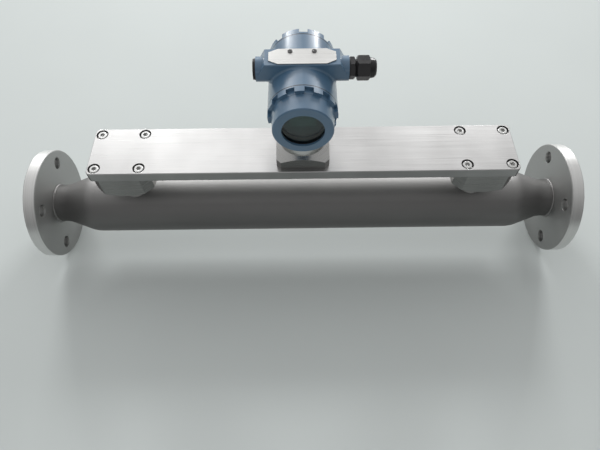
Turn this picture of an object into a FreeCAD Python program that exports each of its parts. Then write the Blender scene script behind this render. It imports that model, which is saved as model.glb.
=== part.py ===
# Inline density meter: a flanged measuring tube with two pressure tappings a fixed distance apart,
# a bridge plate across the tappings and a swivelling transmitter head on its middle.
# Millimetres. +X runs along the flow, +Z points up to the head, and the origin lies on the flow axis
# half way between the flange faces.
import FreeCAD, Part
import math
import os
import re
import Sketcher

SIZES = {
    # measuring tube, reducers and flanges
    "baseline": 500,
    "tap_to_cone": 72,
    "tube_diameter": 88.9,
    "tube_wall": 4,
    "reducer_land": 10,
    "reducer_ease": 8,
    "cone_length": 43,
    "neck_length": 15,
    "pipe_diameter": 57,
    "pipe_bore": 50,
    "pipe_setback": 6,
    "weld_leg": 2,
    "flange_diameter": 165,
    "flange_disc": 17,
    "flange_bore": 59,
    "flange_chamfer": 1,
    "raised_face_height": 3,
    "raised_face_diameter": 102,
    "bolt_circle": 125,
    "bolt_hole": 18,
    "bolt_count": 4,
    "bolt_turn": 45,
    # tapping nozzles, blocks and their screws
    "nozzle_diameter": 34,
    "nozzle_bore": 24,
    "nozzle_height": 28.55,
    "weld_gap": 0.05,
    "block_height": 35,
    "block_corner": 12,
    "crown_angle": 30,
    "chamber_diameter": 44,
    "chamber_depth": 12,
    "gasket_land": 1,
    "gasket_width": 5,
    "gasket_thickness": 2,
    "gasket_gap": 0.3,
    "screw_spacing": 60,
    "screw_edge": 10,
    "screw_shank": 8,
    "screw_length": 24,
    "screw_head": 13,
    "screw_head_height": 8,
    "screw_head_chamfer": 0.8,
    "screw_socket": 6,
    "screw_socket_depth": 4,
    "screw_clearance": 0.5,
    "counterbore_diameter": 16.5,
    "counterbore_sink": 0.4,
    "thread_gap": 0.1,
    "thread_runout": 3,
    # bridge plate, diaphragms and capillaries
    "plate_thickness": 15,
    "plate_corner_radius": 6,
    "plate_bevel": 0.8,
    "recess_depth": 2.5,
    "diaphragm_gap": 0.2,
    "diaphragm_rim": 1.5,
    "diaphragm_sheet": 0.4,
    "diaphragm_wave": 0.6,
    "diaphragm_waves": 8,
    "passage_height": 8,
    "passage_diameter": 3,
    "capillary_diameter": 2,
    "capillary_bend": 4,
    "capillary_spread": 6,
    "channel_width": 8,
    "cover_width": 26,
    "cover_thickness": 2,
    "cover_gap": 0.2,
    "cover_end_space": 4,
    "cover_lap": 12,
    "cover_screw_shank": 3,
    "cover_screw_head": 6,
    "cover_screw_length": 7,
    "cover_screw_row": 9,
    "port_diameter": 26,
    # sensor base, capsule and collar
    "base_side": 70,
    "base_height": 21.4,
    "base_corner": 6,
    "base_screw_edge": 10,
    "base_screw_shank": 6,
    "base_screw_head": 10,
    "base_screw_head_height": 6,
    "base_screw_length": 16,
    "base_screw_socket": 5,
    "base_screw_socket_depth": 3,
    "capsule_diameter": 41,
    "capsule_height": 13,
    "capsule_gap": 0.3,
    "header_diameter": 14,
    "header_height": 5,
    "sensor_board_diameter": 28,
    "board_thickness": 1.6,
    "crown_bore": 32,
    "collar_diameter": 61.5,
    "collar_height": 22,
    "collar_bore": 26,
    "collar_chamfer": 1,
    "spigot_diameter": 36,
    "spigot_height": 16,
    "seal_groove_depth": 1.9,
    "seal_width": 2,
    "seal_side_gap": 0.3,
    "running_gap": 0.05,
    "neck_seal_height": 10,
    # transmitter housing
    "seat_gap": 0.3,
    "neck_drop": 68.9,
    "neck_wall": 9,
    "wire_bore": 18,
    "lock_screw_shank": 6,
    "lock_screw_height": 5,
    "lock_screw_sink": 0.5,
    "lock_screw_socket": 3,
    "lock_screw_tip_gap": 0.35,
    "compartment_diameter": 66,
    "barrel_wall": 7,
    "barrel_front": 41.5,
    "barrel_rear": 42.8,
    "bulkhead_front": 20,
    "bulkhead_thickness": 6,
    "bulkhead_port": 8,
    "bulkhead_port_side": 14,
    "bulkhead_port_drop": 20,
    "conduit_thread": 20,
    "conduit_wall": 3.8,
    "conduit_span": 105,
    "pad_height": 2.6,
    "pad_cover": 2.9,
    "pad_setback": 1.5,
    "pad_slope": 9,
    "pad_round": 1.2,
    "casting_round_gap": 0.2,
    "nameplate_length": 75,
    "nameplate_width": 24.8,
    "nameplate_thickness": 1,
    "nameplate_cut_long": 10.5,
    "nameplate_cut_short": 5.6,
    "nameplate_screw_spread": 27,
    "nameplate_screw_back": 7.8,
    "nameplate_screw_shank": 3,
    "nameplate_screw_head": 5.6,
    "nameplate_screw_head_height": 1.8,
    "nameplate_screw_length": 6,
    # caps and window
    "cap_gap": 0.3,
    "skirt_wall": 4.1,
    "skirt_length": 12,
    "cap_wall": 5.9,
    "cap_draft": 1.1,
    "cap_depth": 29.9,
    "cap_lip": 3,
    "cap_edge": 1.2,
    "rim_length": 8.5,
    "rim_back": 2,
    "notch_width": 10,
    "notch_depth": 4.2,
    "front_notch_count": 12,
    "front_notch_turn": 10,
    "rear_notch_count": 8,
    "rear_notch_turn": -2.5,
    "blind_cap_depth": 10.5,
    "blind_cap_floor": 5,
    "glass_gap": 0.3,
    "glass_lip": 4.2,
    "glass_thickness": 8,
    "window_gasket": 1,
    "ring_thickness": 5,
    "ring_width": 4,
    "ring_slot": 3,
    # electronics
    "standoff_diameter": 5,
    "standoff_spread": 36,
    "standoff_rise": 24,
    "board_standoff": 6,
    "board_gap": 5,
    "display_thickness": 8,
    "display_clearance": 4,
    "display_gap": 2.6,
    "screen_length": 34,
    "screen_height": 20,
    "screen_raise": 1,
    "terminal_length": 46,
    "terminal_height": 16,
    "terminal_depth": 14,
    "terminal_drop": 6,
    "terminal_count": 4,
    "terminal_pitch": 10,
    "terminal_screw_head": 6,
    "terminal_screw_head_height": 2.4,
    "terminal_screw_shank": 3.5,
    "terminal_screw_length": 8,
    "screw_slot": 1,
    "earth_screw_side": 18,
    "earth_screw_drop": 20,
    # plug and cable gland
    "entry_depth": 11,
    "washer_thickness": 1.2,
    "washer_diameter": 24,
    "plug_diameter": 23,
    "plug_flange": 2,
    "plug_socket": 10,
    "plug_socket_depth": 6,
    "gland_hex": 22,
    "hex_crown_angle": 30,
    "gland_hex_length": 5.6,
    "gland_groove": 2.3,
    "gland_thread": 19.5,
    "gland_thread_length": 13,
    "gland_bore": 14,
    "nut_hex": 24.4,
    "nut_hex_length": 14.5,
    "nut_dome_length": 7.3,
    "nut_dome_diameter": 23,
    "nut_mouth": 13,
    "nut_wall": 4,
    "nut_thread_gap": 0.3,
    "insert_bore": 8,
    "insert_start": 2,
}

# Places that follow from the sizes
BLOCK_SIDE = "(screw_spacing + 2 * screw_edge)"
TUBE_END = "(baseline / 2 + tap_to_cone - reducer_land)"
CONE_END = "(reducer_land + cone_length)"
FLANGE_SEAT = f"({TUBE_END} + {CONE_END} + neck_length)"
BLOCK_BOTTOM = "(tube_diameter / 2 + nozzle_height)"
PLATE_BOTTOM = f"({BLOCK_BOTTOM} + block_height)"
PLATE_TOP = f"({PLATE_BOTTOM} + plate_thickness)"
COLLAR_BOTTOM = f"({PLATE_TOP} + base_height)"
COLLAR_TOP = f"({COLLAR_BOTTOM} + collar_height)"
HEAD_AXIS = f"({COLLAR_TOP} + seat_gap + neck_drop)"
COVER_HALF = f"(baseline / 2 - {BLOCK_SIDE} / 2 - cover_end_space)"
COVER_SCREW_REACH = f"({COVER_HALF} - cover_lap / 2)"
BARREL = "(compartment_diameter / 2 + barrel_wall)"
PAD_TOP = f"({BARREL} + pad_height)"
BOSS = "(conduit_thread / 2 + conduit_wall)"
CONDUIT_RISE = f"({PAD_TOP} - pad_cover - {BOSS})"
NECK = "(spigot_diameter / 2 + running_gap + neck_wall)"
SKIRT = "(compartment_diameter / 2 - cap_gap)"
SEAL_FLOOR = f"({SKIRT} - seal_groove_depth)"
CAP_BORE = f"({SKIRT} - skirt_wall)"
CAP_BODY = f"({CAP_BORE} + cap_wall)"
GLASS = f"({CAP_BORE} - glass_gap)"
WINDOW = f"({GLASS} - glass_lip)"
GLASS_FRONT = "(cap_depth - cap_lip - window_gasket)"
RING_BACK = f"({GLASS_FRONT} - glass_thickness - ring_thickness)"
BOARD_BACK = "(bulkhead_front + board_standoff)"
DISPLAY_FRONT = f"(barrel_front + {RING_BACK} - display_clearance)"
NUT_START = "(washer_thickness + gland_hex_length + gland_groove)"

# Distance within which an edge counts as lying at a place
CLOSE = 0.05

doc = FreeCAD.newDocument("inline_density_meter")
sheet = doc.addObject("Spreadsheet::Sheet", "sizes")
for row, (alias, size) in enumerate(SIZES.items(), start=1):
    sheet.set(f"A{row}", alias)
    sheet.set(f"B{row}", str(size))
    sheet.setAlias(f"B{row}", alias)
doc.recompute()

parts = []


def linked(formula):
    """The formula with each size name pointing at its cell of the sheet."""
    return re.sub(r"[a-z_]+", lambda word: f"sizes.{word[0]}" if word[0] in SIZES else word[0], formula)


def number(formula):
    """The value that a formula has now."""
    return float(sheet.evalExpression(linked(formula)))


def new_body(label, at=("0", "0", "0"), turn=0):
    """An empty body, turned about Z and placed by formulas."""
    body = doc.addObject("PartDesign::Body", label)
    body.Label = label
    body.AllowCompound = True
    body.Placement = FreeCAD.Placement(FreeCAD.Vector(), FreeCAD.Rotation(FreeCAD.Vector(0, 0, 1), turn))
    for axis, formula in zip("xyz", at):
        body.setExpression(f"Placement.Base.{axis}", linked(formula))
    parts.append(body)
    return body


def origin(body, role):
    """One of the body's own origin planes or axes."""
    return next(feature for feature in body.Origin.OriginFeatures if feature.Role == role)


def new_sketch(body, plane, shift=("0", "0", "0")):
    """A sketch on an origin plane, shifted along the plane's own axes by formulas."""
    sketch = body.newObject("Sketcher::SketchObject", f"{body.Label}_sketch")
    sketch.AttachmentSupport = [(origin(body, plane), "")]
    sketch.MapMode = "FlatFace"
    for axis, formula in zip("xyz", shift):
        sketch.setExpression(f"AttachmentOffset.Base.{axis}", linked(formula))
    return sketch


def pin_point(sketch, geometry, point, place):
    """Hold a point of the sketch at a pair of formulas."""
    for kind, axis, formula in zip(("DistanceX", "DistanceY"), (-2, -1), place):
        if formula == "0":
            sketch.addConstraint(Sketcher.Constraint("PointOnObject", geometry, point, axis))
            continue
        index = sketch.addConstraint(
            Sketcher.Constraint(kind, -1, 1, geometry, point, number(formula)))
        sketch.setExpression(f"Constraints[{index}]", linked(formula))


def polygon(sketch, corners):
    """A closed outline of straight edges through corners given as pairs of formulas."""
    first = sketch.GeometryCount
    points = [FreeCAD.Vector(number(across), number(along), 0) for across, along in corners]
    for start, end in zip(points, points[1:] + points[:1]):
        sketch.addGeometry(Part.LineSegment(start, end))
    count = len(points)
    for index in range(count):
        following = first + (index + 1) % count
        sketch.addConstraint(Sketcher.Constraint("Coincident", first + index, 2, following, 1))
    for index, corner in enumerate(corners):
        pin_point(sketch, first + index, 1, corner)


def box_outline(sketch, low, high):
    """A rectangle between two corners given as pairs of formulas."""
    polygon(sketch, [low, (high[0], low[1]), high, (low[0], high[1])])


def circle(sketch, radius, centre=("0", "0")):
    """A circle given by formulas."""
    middle = FreeCAD.Vector(number(centre[0]), number(centre[1]), 0)
    index = sketch.addGeometry(Part.Circle(middle, FreeCAD.Vector(0, 0, 1), number(radius)))
    pin_point(sketch, index, 3, centre)
    size = sketch.addConstraint(Sketcher.Constraint("Radius", index, number(radius)))
    sketch.setExpression(f"Constraints[{size}]", linked(radius))


def hexagon(sketch, across_flats):
    """A hexagon with two corners on the sketch's horizontal axis."""
    corner = f"({across_flats} / sqrt(3))"
    half = f"({across_flats} / 2)"
    polygon(sketch, [(corner, "0"), (f"{corner} / 2", half), (f"-{corner} / 2", half),
                     (f"-{corner}", "0"), (f"-{corner} / 2", f"-{half}"), (f"{corner} / 2", f"-{half}")])


def cornered_square(sketch, side, corner):
    """A square about the origin with its corners cut at 45 degrees."""
    half = f"({side} / 2)"
    short = f"({side} / 2 - {corner})"
    polygon(sketch, [(short, f"-{half}"), (half, f"-{short}"), (half, short), (short, half),
                     (f"-{short}", half), (f"-{half}", short), (f"-{half}", f"-{short}"), (f"-{short}", f"-{half}")])


def shaped(body, kind, sketch, settings):
    """Add a feature made from a sketch, and check that a cut removes material."""
    before = 0 if body.Shape.isNull() else body.Shape.Volume
    feature = body.newObject(f"PartDesign::{kind}", f"{body.Label}_{kind.lower()}")
    feature.Profile = sketch
    for name, setting in settings.items():
        if name == "Length":
            feature.setExpression("Length", linked(setting))
        else:
            setattr(feature, name, setting)
    doc.recompute()
    if kind in ("Pocket", "Groove") and not body.Shape.Volume < before:
        raise RuntimeError(f"{feature.Label} cuts nothing")
    return feature


def pad(body, sketch, length, side="One side"):
    return shaped(body, "Pad", sketch, {"Length": length, "SideType": side})


def pocket(body, sketch, length, side="One side", flip=False):
    return shaped(body, "Pocket", sketch, {"Length": length, "SideType": side, "Reversed": flip})


def turned(body, sketch, axis):
    return shaped(body, "Revolution", sketch, {"ReferenceAxis": (sketch, [axis]), "Angle": 360})


def groove(body, sketch, axis):
    return shaped(body, "Groove", sketch, {"ReferenceAxis": (sketch, [axis]), "Angle": 360})


def ring_pattern(body, feature, axis, count):
    """Repeat a feature evenly round an axis of the body."""
    pattern = body.newObject("PartDesign::PolarPattern", f"{body.Label}_ring")
    pattern.Originals = [feature]
    pattern.Axis = (origin(body, axis), [""])
    pattern.Angle = 360
    pattern.setExpression("Occurrences", linked(count))
    body.Tip = pattern
    doc.recompute()


def row_pattern(body, axis, reach, count="2"):
    """Repeat the whole body so far in a row along an axis."""
    pattern = body.newObject("PartDesign::LinearPattern", f"{body.Label}_row")
    pattern.TransformMode = "Whole shape"
    pattern.Direction = (origin(body, axis), [""])
    pattern.setExpression("Length", linked(reach))
    pattern.setExpression("Occurrences", linked(count))
    body.Tip = pattern
    doc.recompute()


def dressed(body, kind, measure, formula, chosen):
    """Dress the edges of the body so far that pass a test."""
    last = body.Tip
    dressing = body.newObject(f"PartDesign::{kind}", f"{body.Label}_{kind.lower()}")
    dressing.Base = (last, [f"Edge{index}" for index, edge in enumerate(last.Shape.Edges, start=1) if chosen(edge)])
    dressing.setExpression(measure, linked(formula))
    body.Tip = dressing
    doc.recompute()


def rounded(body, radius, chosen):
    """Round the edges of the body so far that pass a test."""
    dressed(body, "Fillet", "Radius", radius, chosen)


def bevelled(body, width, chosen):
    """Bevel the edges of the body so far that pass a test."""
    dressed(body, "Chamfer", "Size", width, chosen)


def socket_screw(body, head, head_height, chamfer, shank, length, socket, socket_depth):
    """A socket head screw that stands on Z with the underside of its head at the origin."""
    outline = new_sketch(body, "XZ_Plane")
    polygon(outline, [("0", f"-{length}"), (f"{shank} / 2", f"-{length}"), (f"{shank} / 2", "0"),
                      (f"{head} / 2", "0"), (f"{head} / 2", f"{head_height} - {chamfer}"),
                      (f"{head} / 2 - {chamfer}", head_height), ("0", head_height)])
    turned(body, outline, "V_Axis")
    drive = new_sketch(body, "XY_Plane", ("0", "0", head_height))
    hexagon(drive, socket)
    pocket(body, drive, socket_depth)


def pan_screw(body, head, head_height, shank, length, slot):
    """A slotted pan head screw that points along -Y with the underside of its head at the origin."""
    outline = new_sketch(body, "YZ_Plane")
    polygon(outline, [(f"-{length}", "0"), (head_height, "0"), (head_height, f"{head} / 2"),
                      ("0", f"{head} / 2"), ("0", f"{shank} / 2"), (f"-{length}", f"{shank} / 2")])
    turned(body, outline, "H_Axis")
    notch = new_sketch(body, "XZ_Plane", ("0", "0", f"-{head_height}"))
    box_outline(notch, (f"-{head}", f"-{slot} / 2"), (head, f"{slot} / 2"))
    pocket(body, notch, f"{head_height} / 2", flip=True)


def flat_ring(label, at, outer, inner, thickness, turn=0):
    """A flat ring about Z, used where the ring lies level."""
    body = new_body(label, at, turn)
    outline = new_sketch(body, "XY_Plane")
    circle(outline, outer)
    circle(outline, inner)
    pad(body, outline, thickness)
    return body


def measuring_tube():
    body = new_body("measuring_tube")
    wall = new_sketch(body, "XZ_Plane")
    box_outline(wall, (f"-{TUBE_END}", "tube_diameter / 2 - tube_wall"), (TUBE_END, "tube_diameter / 2"))
    turned(body, wall, "H_Axis")
    taps = new_sketch(body, "XY_Plane")
    for side in ("-", ""):
        circle(taps, "nozzle_bore / 2", (f"{side}baseline / 2", "0"))
    pocket(body, taps, "tube_diameter", flip=True)


def turns_reducer(edge):
    """Whether an edge is an outer ring where the reducer's cone meets its two round ends."""
    if edge.Curve.TypeId != "Part::GeomCircle":
        return False
    rings = ((number("reducer_land"), number("tube_diameter / 2")), (number(CONE_END), number("pipe_diameter / 2")))
    return any(abs(edge.Curve.Center.x - along) < CLOSE and abs(edge.Curve.Radius - radius) < CLOSE
               for along, radius in rings)


def reducer(label, turn, side):
    """A cone and short pipe with the weld at its flange, drawn outwards from the tube's end."""
    body = new_body(label, (f"{side}{TUBE_END}", "0", "0"), turn)
    seat = f"({CONE_END} + neck_length)"
    end = f"({seat} + flange_disc + raised_face_height - pipe_setback)"
    section = new_sketch(body, "XZ_Plane")
    polygon(section, [
        ("0", "tube_diameter / 2 - tube_wall"),
        ("0", "tube_diameter / 2"),
        ("reducer_land", "tube_diameter / 2"),
        (CONE_END, "pipe_diameter / 2"),
        (f"{seat} - weld_leg", "pipe_diameter / 2"),
        (seat, "pipe_diameter / 2 + weld_leg"),
        (seat, "pipe_diameter / 2"),
        (end, "pipe_diameter / 2"),
        (end, "pipe_bore / 2"),
        (CONE_END, "pipe_bore / 2"),
        ("reducer_land", "tube_diameter / 2 - tube_wall"),
    ])
    turned(body, section, "H_Axis")
    slope = "atan((tube_diameter - pipe_diameter) / 2 / cone_length)"
    rounded(body, f"reducer_ease / tan({slope} / 2)", turns_reducer)


def flange(label, turn, side):
    """A flange with a raised face, drawn outwards from its inner face."""
    body = new_body(label, (f"{side}{FLANGE_SEAT}", "0", "0"), turn)
    rim = "(flange_diameter / 2)"
    section = new_sketch(body, "XZ_Plane")
    polygon(section, [
        ("0", "flange_bore / 2"),
        ("0", f"{rim} - flange_chamfer"),
        ("flange_chamfer", rim),
        ("flange_disc - flange_chamfer", rim),
        ("flange_disc", f"{rim} - flange_chamfer"),
        ("flange_disc", "raised_face_diameter / 2"),
        ("flange_disc + raised_face_height", "raised_face_diameter / 2"),
        ("flange_disc + raised_face_height", "flange_bore / 2"),
    ])
    turned(body, section, "H_Axis")
    hole = new_sketch(body, "YZ_Plane")
    circle(hole, "bolt_hole / 2", ("bolt_circle / 2 * cos(bolt_turn)", "bolt_circle / 2 * sin(bolt_turn)"))
    drilled = pocket(body, hole, "flange_disc", flip=True)
    ring_pattern(body, drilled, "X_Axis", "bolt_count")


def nozzle(label, side):
    """A stub between tube and block, with its foot cut to the tube."""
    body = new_body(label, (f"{side}baseline / 2", "0", "0"))
    section = new_sketch(body, "XY_Plane")
    circle(section, "nozzle_diameter / 2")
    circle(section, "nozzle_bore / 2")
    pad(body, section, BLOCK_BOTTOM)
    saddle = new_sketch(body, "YZ_Plane")
    circle(saddle, "tube_diameter / 2 + weld_gap")
    pocket(body, saddle, "2 * nozzle_diameter", side="Symmetric")


def turned_crown(body, radius, height, side, reach):
    """Turn a cone over the corners of a square block, from a radius at its top or bottom face."""
    crown = new_sketch(body, "XZ_Plane", ("0", height, "0"))
    polygon(crown, [(radius, "0"), (f"{radius} + {reach}", "0"),
                    (f"{radius} + {reach}", f"{side}{reach} * tan(crown_angle)")])
    groove(body, crown, "V_Axis")


def block(label, side):
    """A square block with a turned lower edge, a pressure chamber and four tapped holes."""
    body = new_body(label, (f"{side}baseline / 2", "0", BLOCK_BOTTOM))
    square = new_sketch(body, "XY_Plane")
    cornered_square(square, BLOCK_SIDE, "block_corner")
    pad(body, square, "block_height")
    turned_crown(body, f"({BLOCK_SIDE} / 2)", "0", "", BLOCK_SIDE)
    chamber = new_sketch(body, "XZ_Plane")
    gasket_floor = "(block_height - gasket_thickness)"
    seat = "(chamber_diameter / 2 + gasket_land + gasket_width + gasket_gap)"
    polygon(chamber, [
        ("0", "0"),
        ("nozzle_bore / 2", "0"),
        ("nozzle_bore / 2", f"{gasket_floor} - chamber_depth"),
        ("chamber_diameter / 2", f"{gasket_floor} - chamber_depth"),
        ("chamber_diameter / 2", gasket_floor),
        (seat, gasket_floor),
        (seat, "block_height"),
        ("0", "block_height"),
    ])
    groove(body, chamber, "V_Axis")
    holes = new_sketch(body, "XY_Plane", ("0", "0", "block_height"))
    for along in ("-", ""):
        for across in ("-", ""):
            circle(holes, "screw_shank / 2 + thread_gap",
                   (f"{along}screw_spacing / 2", f"{across}screw_spacing / 2"))
    seated = "(plate_thickness - screw_head_height - counterbore_sink)"
    pocket(body, holes, f"screw_length - {seated} + thread_runout")


def gasket(label, side):
    inner = "(chamber_diameter / 2 + gasket_land)"
    flat_ring(label, (f"{side}baseline / 2", "0", f"{PLATE_BOTTOM} - gasket_thickness"),
              f"{inner} + gasket_width", inner, "gasket_thickness")


def diaphragm(label, side):
    """A corrugated metal sheet with a stiff rim, in the recess under the plate."""
    body = new_body(label, (f"{side}baseline / 2", "0", PLATE_BOTTOM))
    rim = "(chamber_diameter / 2 - diaphragm_gap)"
    sheet_edge = f"({rim} - diaphragm_rim)"
    waves = SIZES["diaphragm_waves"]
    lower = []
    for wave in range(waves + 1):
        height = "diaphragm_wave" if wave % 2 else "0"
        lower.append((f"{sheet_edge} * {wave} / diaphragm_waves" if wave else "0", height))
    upper = [(across, f"{height} + diaphragm_sheet") for across, height in reversed(lower)]
    section = new_sketch(body, "XZ_Plane")
    polygon(section, lower + [(rim, "0"), (rim, "recess_depth"), (sheet_edge, "recess_depth")] + upper)
    turned(body, section, "V_Axis")


def plate_screw_centres():
    """Formulas for the eight places where screws hold the plate to the blocks."""
    return [(f"{side}baseline / 2 {along} screw_spacing / 2", f"{across}screw_spacing / 2")
            for side in ("-", "") for along in ("-", "+") for across in ("-", "")]


def base_screw_centres():
    """Formulas for the four places where screws hold the sensor base to the plate."""
    reach = "(base_side / 2 - base_screw_edge)"
    return [(f"{along}{reach}", f"{across}{reach}") for along in ("-", "") for across in ("-", "")]


def cover_screw_centres():
    """Formulas for the six places where screws hold the channel cover."""
    return [(along, f"{across}cover_screw_row")
            for along in (f"-{COVER_SCREW_REACH}", "0", COVER_SCREW_REACH) for across in ("-", "")]


def stands_upright(edge):
    """Whether a straight edge runs along Z."""
    return abs(edge.tangentAt(edge.FirstParameter).z) > 0.5


def lies_on_plate(edge):
    """Whether an edge lies in the top face of the plate."""
    return edge.BoundBox.ZMin > number("plate_thickness") - CLOSE


def bridge_plate():
    body = new_body("bridge_plate", ("0", "0", PLATE_BOTTOM))
    half_length = f"(baseline / 2 + {BLOCK_SIDE} / 2)"
    half_width = f"({BLOCK_SIDE} / 2)"
    blank = new_sketch(body, "XY_Plane")
    box_outline(blank, (f"-{half_length}", f"-{half_width}"), (half_length, half_width))
    pad(body, blank, "plate_thickness")
    rounded(body, "plate_corner_radius", stands_upright)
    bevelled(body, "plate_bevel", lies_on_plate)

    heads = new_sketch(body, "XY_Plane", ("0", "0", "plate_thickness"))
    shanks = new_sketch(body, "XY_Plane", ("0", "0", "plate_thickness"))
    for centre in plate_screw_centres():
        circle(heads, "counterbore_diameter / 2", centre)
        circle(shanks, "screw_shank / 2 + screw_clearance", centre)
    pocket(body, heads, "screw_head_height + counterbore_sink")
    pocket(body, shanks, "plate_thickness")

    recesses = new_sketch(body, "XY_Plane")
    drillings = new_sketch(body, "XY_Plane")
    for side in ("-", ""):
        circle(recesses, "chamber_diameter / 2", (f"{side}baseline / 2", "0"))
        circle(drillings, "passage_diameter / 2", (f"{side}baseline / 2", "0"))
    pocket(body, recesses, "recess_depth", flip=True)
    pocket(body, drillings, "passage_height", flip=True)
    passage = new_sketch(body, "YZ_Plane")
    circle(passage, "passage_diameter / 2", ("0", "passage_height"))
    pocket(body, passage, "baseline", side="Symmetric")

    rebate = new_sketch(body, "XY_Plane")
    box_outline(rebate, (f"-{COVER_HALF} - cover_gap", "-cover_width / 2 - cover_gap"),
                (f"{COVER_HALF} + cover_gap", "cover_width / 2 + cover_gap"))
    pocket(body, rebate, "cover_thickness", flip=True)
    channel = new_sketch(body, "XY_Plane")
    channel_half = f"({COVER_HALF} - cover_lap)"
    box_outline(channel, (f"-{channel_half}", "-channel_width / 2"), (channel_half, "channel_width / 2"))
    pocket(body, channel, "passage_height + channel_width / 4", flip=True)
    threads = new_sketch(body, "XY_Plane")
    for centre in cover_screw_centres():
        circle(threads, "cover_screw_shank / 2 + thread_gap", centre)
    pocket(body, threads, "cover_thickness + cover_screw_length", flip=True)

    port = new_sketch(body, "XY_Plane")
    circle(port, "port_diameter / 2")
    pocket(body, port, "plate_thickness", flip=True)
    base_heads = new_sketch(body, "XY_Plane")
    base_shanks = new_sketch(body, "XY_Plane")
    for centre in base_screw_centres():
        circle(base_heads, "base_screw_head / 2 + screw_clearance", centre)
        circle(base_shanks, "base_screw_shank / 2 + screw_clearance", centre)
    pocket(body, base_heads, "base_screw_head_height + counterbore_sink", flip=True)
    pocket(body, base_shanks, "plate_thickness", flip=True)


def plate_screws():
    body = new_body("plate_screws", (
        "-baseline / 2 - screw_spacing / 2", "-screw_spacing / 2",
        f"{PLATE_TOP} - screw_head_height - counterbore_sink"))
    socket_screw(body, "screw_head", "screw_head_height", "screw_head_chamfer", "screw_shank", "screw_length",
                 "screw_socket", "screw_socket_depth")
    row_pattern(body, "X_Axis", "screw_spacing")
    row_pattern(body, "Y_Axis", "screw_spacing")
    row_pattern(body, "X_Axis", "baseline")


def capillary(label, turn):
    """A thin tube from the passage by a diaphragm to the underside of the sensor capsule."""
    body = new_body(label, ("0", "0", f"{PLATE_BOTTOM} + passage_height"), turn)
    outer_end = "(baseline / 2 - passage_diameter)"
    corner = "(capillary_spread + capillary_bend)"
    rise = "(plate_thickness - passage_height)"
    route = new_sketch(body, "XZ_Plane")
    bend = number("capillary_bend")
    bend_centre = FreeCAD.Vector(number(corner), bend, 0)
    run_start = FreeCAD.Vector(number(outer_end), 0, 0)
    run_end = FreeCAD.Vector(number(corner), 0, 0)
    riser_start = FreeCAD.Vector(number("capillary_spread"), bend, 0)
    riser_end = FreeCAD.Vector(number("capillary_spread"), number(rise), 0)
    quarter = Part.Circle(bend_centre, FreeCAD.Vector(0, 0, 1), bend)
    route.addGeometry(Part.LineSegment(run_start, run_end))
    route.addGeometry(Part.ArcOfCircle(quarter, math.pi, 1.5 * math.pi))
    route.addGeometry(Part.LineSegment(riser_start, riser_end))
    route.addConstraint(Sketcher.Constraint("Tangent", 0, 2, 1, 2))
    route.addConstraint(Sketcher.Constraint("Coincident", 1, 1, 2, 1))
    pin_point(route, 0, 1, (outer_end, "0"))
    pin_point(route, 0, 2, (corner, "0"))
    pin_point(route, 2, 1, ("capillary_spread", "capillary_bend"))
    pin_point(route, 2, 2, ("capillary_spread", rise))
    section = new_sketch(body, "YZ_Plane", ("0", "0", outer_end))
    circle(section, "capillary_diameter / 2")
    shaped(body, "AdditivePipe", section, {"Spine": (route, ["Edge1", "Edge2", "Edge3"])})


def channel_cover():
    body = new_body("channel_cover", ("0", "0", PLATE_BOTTOM))
    strip = new_sketch(body, "XY_Plane")
    box_outline(strip, (f"-{COVER_HALF}", "-cover_width / 2"), (COVER_HALF, "cover_width / 2"))
    pad(body, strip, "cover_thickness")
    holes = new_sketch(body, "XY_Plane")
    for centre in cover_screw_centres():
        circle(holes, "cover_screw_head / 2 + thread_gap", centre)
    pocket(body, holes, "cover_thickness", flip=True)


def cover_screws():
    body = new_body("cover_screws", (f"-{COVER_SCREW_REACH}", "-cover_screw_row", PLATE_BOTTOM))
    outline = new_sketch(body, "XZ_Plane")
    polygon(outline, [("0", "0"), ("cover_screw_head / 2", "0"), ("cover_screw_head / 2", "cover_thickness"),
                      ("cover_screw_shank / 2", "cover_thickness"),
                      ("cover_screw_shank / 2", "cover_screw_length"), ("0", "cover_screw_length")])
    turned(body, outline, "V_Axis")
    slot = new_sketch(body, "XY_Plane")
    box_outline(slot, ("-cover_screw_head", "-screw_slot / 2"), ("cover_screw_head", "screw_slot / 2"))
    pocket(body, slot, "cover_thickness / 2", flip=True)
    row_pattern(body, "Y_Axis", "2 * cover_screw_row")
    row_pattern(body, "X_Axis", f"2 * {COVER_SCREW_REACH}", "3")


def sensor_base():
    body = new_body("sensor_base", ("0", "0", PLATE_TOP))
    square = new_sketch(body, "XY_Plane")
    cornered_square(square, "base_side", "base_corner")
    pad(body, square, "base_height")
    turned_crown(body, "(collar_diameter / 2)", "base_height", "-", "base_side")
    cavity = new_sketch(body, "XZ_Plane")
    capsule_room = "(capsule_diameter / 2 + capsule_gap)"
    polygon(cavity, [("0", "0"), (capsule_room, "0"), (capsule_room, "capsule_height"),
                     ("crown_bore / 2", "capsule_height"), ("crown_bore / 2", "base_height"),
                     ("0", "base_height")])
    groove(body, cavity, "V_Axis")
    holes = new_sketch(body, "XY_Plane")
    for centre in base_screw_centres():
        circle(holes, "base_screw_shank / 2 + thread_gap", centre)
    seated = "(plate_thickness - base_screw_head_height - counterbore_sink)"
    pocket(body, holes, f"base_screw_length - {seated} + thread_runout", flip=True)


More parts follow.
